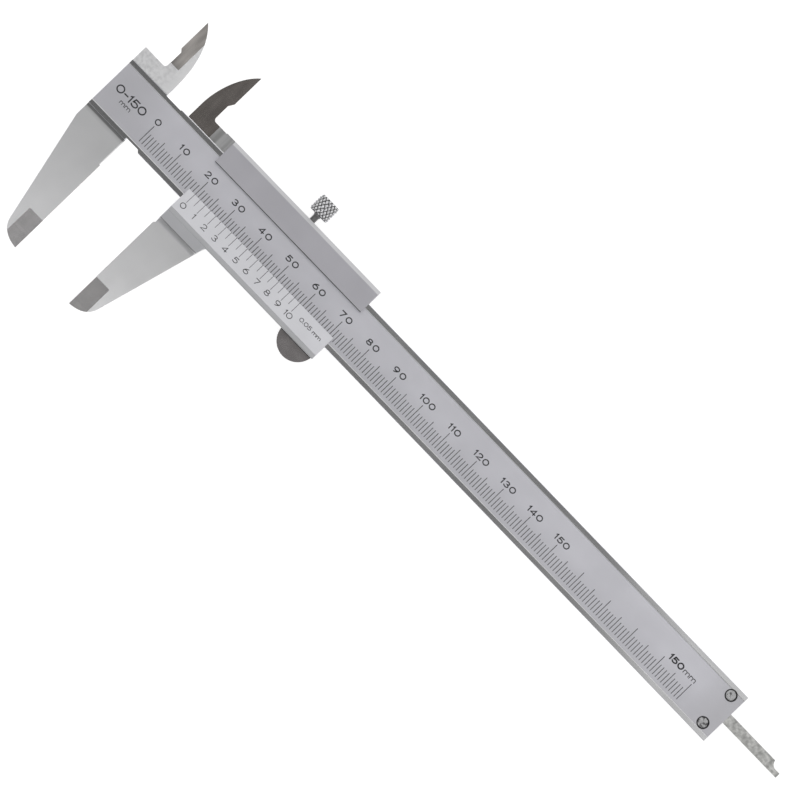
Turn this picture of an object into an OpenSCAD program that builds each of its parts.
// Vernier caliper for lengths up to 150 mm, reading to 0.05 mm, lying on its back.
// +X runs along the beam away from the fixed jaws, +Y towards the inside jaws, +Z out of the scale face.
// Every shape is drawn from the main scale's zero line, on the beam's centre line, and on_frame() then
// moves it so that the origin is at the middle of the whole object's base. Millimetres.

/* [Measuring] */
// Opening of the jaws, the distance that the vernier reads
opening = 20; // [12:0.05:60]
// Depth that the outside jaws reach below the beam
jaw_depth = 39.7; // [36:0.1:41]
// Value of the last line of the main scale
scale_end = 200; // [150:1:200]

/* [Beam] */
// Width of the beam
beam_w = 16; // [15.8:0.05:16.2]
// Thickness of the beam over its ground rails
beam_t = 3.3; // [3.2:0.05:3.6]
// Distance from the zero line to the head's end
head_len = 16.3; // [16:0.1:18]
// Distance from the zero line to the beam's far end
tail_len = 212.7; // [208:0.1:230]
// Depth of the scale face below the rails
scale_recess = 0.15; // [0.05:0.01:0.25]
// Width of the scale face between the rails
scale_face_w = 13.1; // [13:0.1:13.6]

/* [Slider] */
// Length of the slider's upper rail and vernier lip
slider_len = 54; // [52:0.5:60]
// Width of the slider above the beam's centre line
slider_up = 12.3; // [12:0.1:13]
// Width of the slider below the beam's centre line
slider_down = 12.5; // [12:0.1:13]
// Height of the slider's front above the back plate
slider_h = 5.6; // [5.5:0.05:6.2]
// Thickness of the back plate
back_t = 1; // [0.8:0.05:1.2]

/* [Depth bar] */
// Width of the depth bar
bar_w = 3.1; // [2.6:0.1:3.4]
// Thickness of the depth bar
bar_t = 1.1; // [0.9:0.05:1.2]

/* [Lock screw] */
// Diameter of the lock screw's head
knob_d = 6.3; // [5:0.1:6.3]
// Height of the lock screw's head
knob_h = 5; // [4.5:0.1:7]
// Diameter of the lock screw's thread
lock_d = 2.4; // [2:0.1:2.6]
// Pitch of the lock screw's thread
lock_pitch = 0.45; // [0.4:0.05:0.5]

/* [Hidden] */
$fn = 48;

// Cutting bodies stand this far out of what they cut
eps = 0.5;
// Cutting bodies reach this far where their far end doesn't matter
far = 40;

// Levels above the surface that the back plate rests on
beam_z = back_t + 0.05;
rail_z = beam_z + beam_t;
scale_z = rail_z - scale_recess;
jaw_z0 = back_t + 0.35;
jaw_z1 = jaw_z0 + 2.55;
split_z = 2.6;
split_gap = 0.05;
lip_z0 = rail_z + 0.1;
root_z = 5;

// Beam
half_w = beam_w / 2;
face_half = scale_face_w / 2;
edge_chamfer = 0.15;
recess_slope_w = 0.2;
fixed_face_x = -2.5;
fixed_inside_x = -9.8;
inside_root_x = -3.5;
head_up = 12.6;
head_corner = 0.2;
// Undercuts of the beam's edges beside the fixed jaws
edge_relief = 0.7;
edge_relief_x = 2.1;
groove_x0 = 36;
groove_w = bar_w + 0.2;
groove_y = 0.3;
groove_top = beam_z + 1.4;

// Graduations
main_line_w = 0.19;
vernier_line_w = 0.13;
line_depth = 0.06;
main_line_y = -5.6;
main_line_len = [3.4, 4.5, 5.5];
vernier_divisions = 20;
vernier_step = 1.95;
vernier_line_len = [2.3, 3.1];

// Jaws. The moving ones are the fixed ones' counterparts, one opening further along.
face_step_y = -17;
face_relief = 0.4;
jaw_tip_y = -half_w - jaw_depth;
taper_y = -12.3;
nose_y = -43;
tip_w = 6.5;
root_w = 14.75;
root_fillet = 0.6;
tip_recess_y = -37.7;
tip_recess_w = 4.9;
tip_recess_depth = 0.7;
inside_tip_y = 28.6;
bevel_y = 14.4;
bevel_w = 3.75;
bevel_edge_t = 0.3;
bevel_rise = 0.13;
// Reliefs beside the inside jaws' edges: their depths, where they end and where the edges begin
fixed_relief = 0.75;
fixed_relief_y = [18.2, 19];
moving_relief = 0.9;
moving_relief_y = [17.3, 18.8];
// Moving inside jaw, counted back and forth from its edge
blade_w = 6.1;
blade_back_y = 13;
blade_z0 = jaw_z0 - 0.05;
shelf_x = 4.1;
shelf_y = blade_back_y - moving_relief;
shelf_end_x = 7.4;

// Slider
rail_x = opening - 2.5;
slider_end_x = rail_x + slider_len;
moving_face_x = opening + fixed_face_x;
moving_inside_x = opening + fixed_inside_x;
window_up = 4.9;
window_down = -4.7;
window_edge = 0.2;
lip_edge_t = 0.15;
lip_ridge_y = -11.1;
rail_chamfer = [1.1, 0.6];
fit_gap = 0.1;
bridge_len = 13.7;
plate_x = rail_x + bridge_len + 0.1;

// Gib, its set screws and the lock screw
gib_t = 0.65;
gib_gap = 0.05;
gib_y0 = half_w + gib_gap;
gib_y1 = gib_y0 + gib_t;
gib_len = 49;
gib_x0 = rail_x + (slider_len - gib_len) / 2;
gib_z0 = back_t + 0.1;
gib_z1 = lip_z0 - 0.1;
screw_z = 3.2;
lock_x = rail_x + 28.25;
gib_screw_dx = 15;
gib_screw_d = 2;
gib_screw_top_y = slider_up - 0.15;
gib_slot_depth = 0.6;
lock_bore_r = lock_d / 2 + 0.05;
neck_d = 1.8;
neck_len = 2.1;
knob_y = slider_up + neck_len;
knob_chamfer = 0.5;
tip_chamfer = 0.2;
head_bore_h = 4;
collar_h = 0.5;
collar_r = 1;
collar_flare = 0.2;
shoe_t = 0.9;
// At rest the screw is half a turn away from tight
shoe_y = gib_y1 + lock_pitch / 2 + 0.005;
shoe_top_y = shoe_y + shoe_t;

// Back plate fasteners
plate_screw_dx = [5.7, 34.3];
plate_screw_y = 10.2;
plate_screw_d = 1.7;
plate_head_d = 3.1;
plate_head_h = 0.74;
plate_screw_len = 3.4;
plate_screw_hole_z = plate_screw_len + 0.2;
// Heads lie this far below the surface
sink = 0.06;
// Clearances across a pin in its hole and across a countersunk head in its seat
hole_gap = 0.02;
seat_gap = 0.16;

// Depth bar. Its tip is flush with the beam's end when the jaws are closed.
bar_tip_x = tail_len + opening;
bar_x0 = rail_x + 40;
bar_z0 = back_t + 0.2;
bar_foot_len = 13;
rivet_dx = [3, 9];
rivet_d = 1.2;
rivet_head_d = 2.1;
rivet_head_h = 0.5;
rivet_top_z = bar_z0 + bar_t - 0.3;
bar_relief_len = 3.3;
bar_relief_w = 1.6;

// Thumb rest
thumb_x = rail_x + 48.1;
thumb_y = -11.86;
thumb_r = 5.5;
thumb_z0 = 1.5;
thumb_t = 2.4;
tongue_w = 8;
tongue_y = -8.9;

// End stop
stop_len = 6;
stop_x0 = tail_len - stop_len - 0.15;
stop_half_w = 7.4;
stop_z0 = 0.15;
stop_screw_x = tail_len - 3.6;
stop_screw_y = [5.25, -4.85];
stop_screw_d = 2.7;
stop_ring_d = 3.2;
stop_ring_depth = 0.4;
stop_head_d = 4.1;
stop_head_h = 0.66;
stop_screw_top = scale_z - 0.05;
slot_w = 0.4;
slot_depth = 0.35;

// Middle of the whole object's base, seen from the zero line
base_mid = [(bar_tip_x - head_len) / 2, (inside_tip_y + jaw_tip_y) / 2];

module on_frame() {
    translate([-base_mid[0], -base_mid[1], 0])
        children();
}

// Extrudes an outline drawn in Y and Z along X, from x0 over the length len
module along_x(x0, len) {
    translate([x0, 0, 0])
        rotate([90, 0, 90])
            linear_extrude(len)
                children();
}

// Extrudes an outline drawn in X and Y from z0 up to z1
module plate(z0, z1) {
    translate([0, 0, z0])
        linear_extrude(z1 - z0)
            children();
}

module box(low, high) {
    translate(low)
        cube([high[0] - low[0], high[1] - low[1], high[2] - low[2]]);
}

// A cylinder along Y from y0 to y1, its axis at x and z
module rod_y(x, y0, y1, z, d) {
    translate([x, y0, z])
        rotate([-90, 0, 0])
            cylinder(h = y1 - y0, d = d);
}

// A cylinder along Z from z0 to z1
module rod_z(x, y, z0, z1, d) {
    translate([x, y, z0])
        cylinder(h = z1 - z0, d = d);
}

// A hole along Z, countersunk from z0 upwards
module countersunk_hole(x, y, z0, head_d, head_h, d) {
    rod_z(x, y, -eps, far, d + hole_gap);
    translate([x, y, z0])
        cylinder(h = head_h + sink, d1 = head_d + seat_gap, d2 = d + hole_gap);
}

// A screw or rivet along Z up to z1, with its countersunk head just above z0
module countersunk_pin(x, y, z0, z1, head_d, head_h, d) {
    rod_z(x, y, z0 + sink, z1, d);
    translate([x, y, z0 + sink])
        cylinder(h = head_h, d1 = head_d, d2 = d);
}

// The cut for a driver's slot, turned by a, in the face at z0
module slot_cut(x, y, z0, a) {
    translate([x, y, z0])
        rotate([0, 0, a])
            cube([far, slot_w, 2 * slot_depth], center = true);
}

// Points of a quadratic Bezier curve
function bow(p, q, r, n = 10) = [
    for (i = [0:n])
        let (t = i / n)
            (1 - t) * (1 - t) * p + 2 * t * (1 - t) * q + t * t * r
];

// Points of a cubic Bezier curve
function sweep(p, q, r, s, n = 16) = [
    for (i = [0:n])
        let (t = i / n, u = 1 - t)
            u * u * u * p + 3 * u * u * t * q + 3 * u * t * t * r + t * t * t * s
];

// Points of an arc around c
function arc(c, r, a0, a1, n = 8) = [
    for (i = [0:n])
        let (a = a0 + (a1 - a0) * i / n)
            c + r * [cos(a), sin(a)]
];

// ---- Beam with the fixed jaws ----

module beam_section() {
    polygon([
        [half_w, beam_z + edge_chamfer],
        [half_w - edge_chamfer, beam_z],
        [edge_chamfer - half_w, beam_z],
        [-half_w, beam_z + edge_chamfer],
        [-half_w, rail_z - edge_chamfer],
        [edge_chamfer - half_w, rail_z],
        [-face_half - recess_slope_w, rail_z],
        [-face_half, scale_z],
        [face_half, scale_z],
        [face_half + recess_slope_w, rail_z],
        [half_w - edge_chamfer, rail_z],
        [half_w, rail_z - edge_chamfer]
    ]);
}

module fixed_outside_outline() {
    x = fixed_face_x;
    polygon(concat(
        [
            [-head_len, 0],
            [-head_len, taper_y]
        ],
        bow([x - tip_w, nose_y], [x - tip_w + 1, jaw_tip_y + 0.4], [x, jaw_tip_y]),
        [
            [x, face_step_y - 0.3],
            [x - face_relief, face_step_y],
            [x - face_relief, 0]
        ]
    ));
}

module fixed_inside_outline() {
    polygon(concat(
        [
            [inside_root_x, 0],
            [-head_len, 0],
            [-head_len, head_up],
            [fixed_inside_x + head_corner, head_up],
            [fixed_inside_x + fixed_relief, head_up + fixed_relief - head_corner],
            [fixed_inside_x + fixed_relief, fixed_relief_y[0]],
            [fixed_inside_x, fixed_relief_y[1]]
        ],
        sweep([fixed_inside_x, inside_tip_y], [-5.6, 24.8], [-3.2, 19], [inside_root_x, half_w])
    ));
}

// The thinned tip of an outside jaw, with a round inner corner. side is 1 where the jaw lies towards +X.
module tip_recess(face_x, side) {
    corner_r = 0.5;
    x1 = face_x + side * tip_recess_w;
    translate([0, tip_recess_y])
        mirror([0, 1])
            polygon(concat(
                [[face_x - side * eps, 0]],
                arc([x1 - side * corner_r, corner_r], corner_r, -90, side > 0 ? 0 : -180),
                [[x1, far], [face_x - side * eps, far]]
            ));
}

module thin_tip(face_x, side) {
    plate(jaw_z1 - tip_recess_depth, far)
        tip_recess(face_x, side);
    plate(-eps, jaw_z0 + tip_recess_depth)
        tip_recess(face_x, side);
}

// Undercuts where the beam's edges meet the fixed jaws
module edge_reliefs() {
    plate(-eps, far) {
        polygon([
            [fixed_face_x - face_relief, -half_w - eps],
            [fixed_face_x - face_relief, -half_w + edge_relief],
            [edge_relief_x - edge_relief, -half_w + edge_relief],
            [edge_relief_x, -half_w],
            [edge_relief_x, -half_w - eps]
        ]);
        polygon([
            [inside_root_x, half_w + eps],
            [inside_root_x, half_w - edge_relief / 2],
            [edge_relief_x - edge_relief / 2, half_w - edge_relief / 2],
            [edge_relief_x, half_w],
            [edge_relief_x, half_w + eps]
        ]);
    }
}

// One engraved line of the main scale for each millimetre
module main_graduations() {
    for (i = [0:scale_end]) {
        len = main_line_len[i % 10 == 0 ? 2 : i % 5 == 0 ? 1 : 0];
        box(
            [i - main_line_w / 2, main_line_y, scale_z - line_depth],
            [i + main_line_w / 2, main_line_y + len, scale_z + eps]
        );
    }
}

module main_beam() {
    color([0.72, 0.72, 0.71])
        on_frame()
            difference() {
                union() {
                    along_x(-head_len, head_len + tail_len)
                        beam_section();
                    plate(jaw_z0, jaw_z1)
                        fixed_outside_outline();
                    plate(split_z + split_gap, jaw_z1)
                        fixed_inside_outline();
                }
                thin_tip(fixed_face_x, -1);
                edge_reliefs();
                // Ground bevel of the inside jaw's blade
                translate([0, bevel_y, 0])
                    rotate([90, 0, 180])
                        linear_extrude(far)
                            polygon([
                                [-fixed_inside_x - bevel_w, jaw_z1],
                                [-fixed_inside_x + eps, split_z + split_gap + bevel_edge_t - bevel_rise],
                                [-fixed_inside_x + eps, jaw_z1 + eps],
                                [-fixed_inside_x - bevel_w, jaw_z1 + eps]
                            ]);
                // Groove of the depth bar
                box(
                    [groove_x0, groove_y - groove_w / 2, -eps],
                    [tail_len + eps, groove_y + groove_w / 2, groove_top]
                );
                for (y = stop_screw_y) {
                    rod_z(stop_screw_x, y, -eps, far, stop_screw_d + hole_gap);
                    rod_z(stop_screw_x, y, scale_z - stop_ring_depth, far, stop_ring_d);
                }
                main_graduations();
            }
}

// ---- End stop ----

module end_stop_plate() {
    color([0.62, 0.62, 0.61])
        on_frame()
            difference() {
                box([stop_x0, -stop_half_w, stop_z0], [stop_x0 + stop_len, stop_half_w, beam_z]);
                for (y = stop_screw_y)
                    countersunk_hole(stop_screw_x, y, stop_z0, stop_head_d, stop_head_h, stop_screw_d);
            }
}

module end_stop_screw(y) {
    x = stop_screw_x;
    color([0.55, 0.55, 0.54])
        on_frame()
            difference() {
                countersunk_pin(x, y, stop_z0, stop_screw_top, stop_head_d, stop_head_h, stop_screw_d);
                slot_cut(x, y, stop_z0, 30);
            }
}

// ---- Slider ----

module upper_section() {
    polygon([
        [window_up, lip_z0],
        [window_up, slider_h - window_edge],
        [window_up + window_edge, slider_h],
        [slider_up - rail_chamfer[0], slider_h],
        [slider_up, slider_h - rail_chamfer[1]],
        [slider_up, back_t],
        [half_w + fit_gap, back_t],
        [half_w + fit_gap, lip_z0]
    ]);
}

module lower_section() {
    polygon([
        [window_down, lip_z0],
        [window_down, lip_z0 + lip_edge_t],
        [lip_ridge_y, slider_h],
        [-slider_down, slider_h - 0.7],
        [-slider_down, back_t],
        [-half_w - fit_gap, back_t],
        [-half_w - fit_gap, lip_z0]
    ]);
}

module moving_outside_outline() {
    x = moving_face_x;
    polygon(concat(
        [
            [x + face_relief, -half_w - fit_gap],
            [x + face_relief, face_step_y],
            [x, face_step_y - 0.3]
        ],
        bow([x, jaw_tip_y], [x + tip_w - 1, jaw_tip_y + 0.4], [x + tip_w, nose_y]),
        [[x + root_w - root_fillet, taper_y - root_fillet]],
        arc([x + root_w, -slider_down - root_fillet], root_fillet, 180, 90, 4),
        [[x + root_w, -half_w - fit_gap]]
    ));
}

// Side view of the moving outside jaw: thick root, cove, then the flat jaw
module moving_outside_section() {
    cove_r = 2;
    cove_y = -16.9;
    difference() {
        translate([jaw_tip_y - eps, jaw_z0])
            square([-half_w - fit_gap - jaw_tip_y + eps, root_z - jaw_z0]);
        translate([cove_y, jaw_z1 + cove_r])
            circle(cove_r);
        translate([cove_y - far, jaw_z1])
            square([far, far]);
    }
}

module moving_inside_outline() {
    x = moving_inside_x;
    polygon(concat(
        [
            [x + shelf_end_x, half_w + fit_gap],
            [x + shelf_end_x, slider_up],
            [x + shelf_x, slider_up],
            [x + shelf_x, shelf_y]
        ],
        arc([x, blade_back_y], moving_relief, 270, 180),
        [
            [x - moving_relief, moving_relief_y[0]],
            [x, moving_relief_y[1]]
        ],
        sweep([x, inside_tip_y - 0.1], [x - 3.8, 25.2], [x - blade_w, 18.5], [x - blade_w, blade_back_y]),
        [[x - blade_w, half_w + fit_gap]]
    ));
}

// One engraved line for each vernier division, on the bevelled lip
module vernier_graduations() {
    slope = atan2(slider_h - lip_z0 - lip_edge_t, window_down - lip_ridge_y);
    for (i = [0:vernier_divisions]) {
        len = vernier_line_len[i % 2 == 0 ? 1 : 0];
        translate([opening + i * vernier_step - vernier_line_w / 2, window_down, lip_z0 + lip_edge_t])
            rotate([180 - slope, 0, 0])
                translate([0, -eps, -eps])
                    cube([vernier_line_w, len + eps, eps + line_depth]);
    }
}

module slider_frame() {
    color([0.78, 0.78, 0.77])
        on_frame()
            difference() {
                union() {
                    along_x(rail_x, slider_len)
                        upper_section();
                    along_x(rail_x + face_relief, slider_len - face_relief)
                        lower_section();
                    // Bridge behind the beam at the jaws
                    box([rail_x + face_relief, -slider_down, 0], [rail_x + bridge_len, slider_up, back_t]);
                    intersection() {
                        plate(jaw_z0, root_z)
                            moving_outside_outline();
                        along_x(rail_x - 5, far)
                            moving_outside_section();
                    }
                    plate(blade_z0, split_z)
                        moving_inside_outline();
                }
                thin_tip(moving_face_x, 1);
                // Ground bevel on the back of the inside jaw's blade
                translate([0, bevel_y, 0])
                    rotate([90, 0, 180])
                        linear_extrude(far)
                            polygon([
                                [bevel_w - moving_inside_x, blade_z0],
                                [-moving_inside_x - eps, split_z - bevel_edge_t + bevel_rise],
                                [-moving_inside_x - eps, -eps],
                                [bevel_w - moving_inside_x, -eps]
                            ]);
                // Pocket of the gib
                box(
                    [gib_x0 - gib_gap, half_w - eps, back_t - eps],
                    [gib_x0 + gib_len + gib_gap, gib_y1 + hole_gap, lip_z0]
                );
                // Recess of the thumb rest's tongue
                box(
                    [thumb_x - tongue_w / 2 - hole_gap, -slider_down - eps, thumb_z0 - hole_gap],
                    [thumb_x + tongue_w / 2 + hole_gap, tongue_y + hole_gap, thumb_z0 + thumb_t + hole_gap]
                );
                rod_y(lock_x, half_w, far, screw_z, 2 * lock_bore_r);
                for (dx = [-gib_screw_dx, gib_screw_dx])
                    rod_y(lock_x + dx, half_w, far, screw_z, gib_screw_d + hole_gap);
                for (dx = plate_screw_dx, y = [plate_screw_y, -plate_screw_y])
                    rod_z(plate_x + dx, y, back_t - eps, plate_screw_hole_z, plate_screw_d + hole_gap);
                vernier_graduations();
            }
}

// ---- Back plate and its screws ----

module slider_back_plate() {
    color([0.7, 0.7, 0.69])
        on_frame()
            difference() {
                box([plate_x, -slider_down, 0], [slider_end_x, slider_up, back_t]);
                for (dx = plate_screw_dx, y = [plate_screw_y, -plate_screw_y])
                    countersunk_hole(plate_x + dx, y, 0, plate_head_d, plate_head_h, plate_screw_d);
                for (dx = rivet_dx)
                    countersunk_hole(bar_x0 + dx, groove_y, 0, rivet_head_d, rivet_head_h, rivet_d);
            }
}

module back_plate_screw(i) {
    x = plate_x + plate_screw_dx[floor((i - 1) / 2)];
    y = i % 2 == 1 ? plate_screw_y : -plate_screw_y;
    color([0.5, 0.5, 0.5])
        on_frame()
            difference() {
                countersunk_pin(x, y, 0, plate_screw_len, plate_head_d, plate_head_h, plate_screw_d);
                slot_cut(x, y, 0, 35 * i);
            }
}

// ---- Depth bar and its rivets ----

module depth_bar() {
    y0 = groove_y - bar_w / 2;
    y1 = groove_y + bar_w / 2;
    relief_x = bar_tip_x - bar_relief_len;
    relief_y = y1 - bar_relief_w;
    color([0.66, 0.66, 0.65])
        on_frame()
            difference() {
                union() {
                    box([bar_x0, y0, bar_z0], [bar_tip_x, y1, bar_z0 + bar_t]);
                    box([bar_x0, y0, back_t], [bar_x0 + bar_foot_len, y1, bar_z0 + bar_t]);
                }
                // Relief of the tip, so that it clears a corner's radius
                plate(-eps, far)
                    polygon(concat(
                        bow(
                            [relief_x, y1],
                            [relief_x + 0.4, relief_y + 0.1],
                            [relief_x + bar_relief_w, relief_y]
                        ),
                        [
                            [bar_tip_x + eps, relief_y],
                            [bar_tip_x + eps, y1 + eps],
                            [relief_x, y1 + eps]
                        ]
                    ));
                for (dx = rivet_dx)
                    rod_z(bar_x0 + dx, groove_y, -eps, rivet_top_z + hole_gap, rivet_d + hole_gap);
            }
}

module depth_bar_rivet(i) {
    color([0.6, 0.6, 0.59])
        on_frame()
            countersunk_pin(
                bar_x0 + rivet_dx[i - 1], groove_y, 0, rivet_top_z, rivet_head_d, rivet_head_h, rivet_d
            );
}

// ---- Gib and its set screws ----

module gib_strip() {
    color([0.72, 0.55, 0.3])
        on_frame()
            box([gib_x0, gib_y0, gib_z0], [gib_x0 + gib_len, gib_y1, gib_z1]);
}

module gib_set_screw(side) {
    x = lock_x + side * gib_screw_dx;
    color([0.3, 0.3, 0.3])
        on_frame()
            difference() {
                rod_y(x, gib_y1, gib_screw_top_y, screw_z, gib_screw_d);
                translate([x, gib_screw_top_y, screw_z])
                    rotate([0, 25 * side, 0])
                        cube([far, 2 * gib_slot_depth, slot_w], center = true);
            }
}

// ---- Lock screw ----

module clamp_shoe() {
    color([0.75, 0.6, 0.3])
        on_frame()
            rod_y(lock_x, shoe_y, shoe_top_y, screw_z, lock_d);
}

// Turned about Y at the lock screw's axis, from an outline of radius and height
module turned_on_lock_axis() {
    translate([lock_x, 0, screw_z])
        rotate([-90, 0, 0])
            rotate_extrude()
                children();
}

module lock_screw_stem() {
    r = lock_d / 2;
    color([0.45, 0.45, 0.45])
        on_frame()
            turned_on_lock_axis()
                polygon([
                    [0, shoe_top_y],
                    [r - tip_chamfer, shoe_top_y],
                    [r, shoe_top_y + tip_chamfer],
                    [r, slider_up - r + neck_d / 2],
                    [neck_d / 2, slider_up],
                    [neck_d / 2, knob_y + head_bore_h],
                    [0, knob_y + head_bore_h]
                ]);
}

// The knurled head, pressed on the stem with its collar towards the slider
module lock_screw_head() {
    r = knob_d / 2;
    bore_r = (neck_d + hole_gap) / 2;
    color([0.8, 0.8, 0.8])
        on_frame()
            turned_on_lock_axis()
                polygon([
                    [bore_r, knob_y - collar_h],
                    [collar_r, knob_y - collar_h],
                    [collar_r + collar_flare, knob_y],
                    [r - knob_chamfer, knob_y],
                    [r, knob_y + knob_chamfer],
                    [r, knob_y + knob_h - knob_chamfer],
                    [r - knob_chamfer, knob_y + knob_h],
                    [0, knob_y + knob_h],
                    [0, knob_y + head_bore_h + hole_gap],
                    [bore_r, knob_y + head_bore_h + hole_gap]
                ]);
}

// ---- Thumb rest ----

module thumb_rest() {
    color([0.4, 0.38, 0.36])
        on_frame()
            difference() {
                plate(thumb_z0, thumb_z0 + thumb_t) {
                    difference() {
                        translate([thumb_x, thumb_y])
                            circle(thumb_r);
                        translate([thumb_x - thumb_r - eps, -slider_down])
                            square([2 * thumb_r + 2 * eps, far]);
                    }
                    translate([thumb_x - tongue_w / 2, -slider_down - 0.01])
                        square([tongue_w, tongue_y + slider_down + 0.01]);
                }
                rod_z(thumb_x, -plate_screw_y, -eps, plate_screw_hole_z, plate_screw_d + hole_gap);
            }
}

main_beam();
end_stop_plate();
end_stop_screw(stop_screw_y[0]);  // end_stop_screw_upper
end_stop_screw(stop_screw_y[1]);  // end_stop_screw_lower
slider_frame();
slider_back_plate();
back_plate_screw(1);  // back_plate_screw_1
back_plate_screw(2);  // back_plate_screw_2
back_plate_screw(3);  // back_plate_screw_3
back_plate_screw(4);  // back_plate_screw_4
depth_bar();
depth_bar_rivet(1);  // depth_bar_rivet_1
depth_bar_rivet(2);  // depth_bar_rivet_2
gib_strip();
gib_set_screw(-1);  // gib_set_screw_front
gib_set_screw(1);  // gib_set_screw_rear
clamp_shoe();
lock_screw_stem();
lock_screw_head();
thumb_rest();
